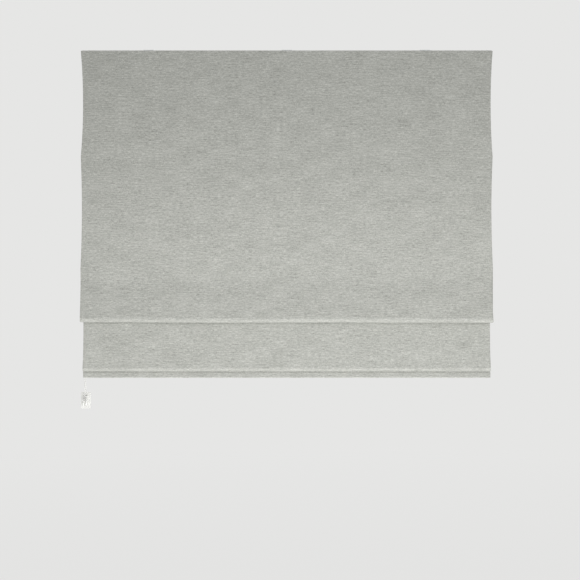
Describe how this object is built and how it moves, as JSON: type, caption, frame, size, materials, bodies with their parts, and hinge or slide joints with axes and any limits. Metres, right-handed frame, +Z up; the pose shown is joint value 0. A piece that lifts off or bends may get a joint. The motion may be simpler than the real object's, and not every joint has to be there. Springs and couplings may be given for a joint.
{
  "type": "roman blind",
  "caption": "Lined roman blind hung half raised from a chain-driven headrail, with a soft front fold, a weighted hem and a chain tidy.",
  "frame": {"origin": "middle of the four screw holes of the end brackets, on the ceiling plane at the brackets' top", "axes": "X along the headrail with the control chain at -X, Y from the room to the window with the face fabric at -Y, Z up"},
  "size_m": [1.194, 0.0722, 1.04],
  "materials": {
    "face_cloth": "matte slubbed weave",
    "lining_cloth": "smooth cotton",
    "tape": "woven tape",
    "cord": "braided",
    "rail": "satin powder coat",
    "bracket": "zinc plated",
    "steel": "bright",
    "shaft": "mill",
    "moulding": "matte",
    "bead": "gloss",
    "rod": "glass fibre"
  },
  "bodies": {
    "headrail": {"headrail": "rail", "hook_tape": "tape", "loop_tape": "tape", "bracket_left": "bracket", "bracket_centre": "bracket", "bracket_right": "bracket", "control_housing": "moulding", "control_cover": "moulding", "cover_screws": "steel", "brake_core": "moulding", "spool_cradle_1": "moulding", "spool_cradle_2": "moulding", "spool_cradle_3": "moulding", "spool_cradle_4": "moulding", "end_cap": "moulding", "bead_chain": "bead", "tidy_body": "moulding", "tidy_cover": "moulding", "face_fabric_drop": "face_cloth", "lining_drop": "lining_cloth", "lift_cord_1": "cord", "lift_cord_2": "cord", "lift_cord_3": "cord", "lift_cord_4": "cord"},
    "folds": {"face_fabric_folds": "face_cloth", "lining_folds": "lining_cloth", "middle_rod": "rod", "middle_rod_pocket": "tape", "middle_cord_rings": "bead", "lowest_rod": "rod", "lowest_rod_pocket": "tape", "cord_anchors": "bead", "weight_bar": "steel", "weight_bar_caps": "moulding"},
    "upper_rod": {"upper_rod": "rod", "upper_rod_pocket": "tape", "upper_cord_rings": "bead"},
    "drive": {"chain_wheel": "moulding", "drive_shaft": "shaft", "spool_1": "moulding", "spool_2": "moulding", "spool_3": "moulding", "spool_4": "moulding", "wound_cords": "cord", "brake_spring": "steel", "end_bush": "moulding"}
  },
  "joints": [
    {"name": "lift", "type": "slide", "parent": "headrail", "child": "folds", "axis": [0, 0, 1], "range_m": [0, 0.5278], "deforming": ["face_fabric_drop", "lining_drop", "lift_cord_1", "lift_cord_2", "lift_cord_3", "lift_cord_4"]},
    {"name": "upper_rod_lift", "type": "slide", "parent": "headrail", "child": "upper_rod", "axis": [0, 0, 1], "range_m": [0, 0.26]},
    {"name": "drive_turn", "type": "hinge", "parent": "headrail", "child": "drive", "pos_m": [0, -0.0022, -0.02], "axis": [-1, 0, 0], "range_deg": [0, 2525], "deforming": ["bead_chain"]}
  ],
  "couplings": [
    {"joint": "upper_rod_lift", "follows": "lift", "ratio": 0.48649},
    {"joint": "drive_turn", "follows": "lift", "rad_per_m": 83.333}
  ]
}
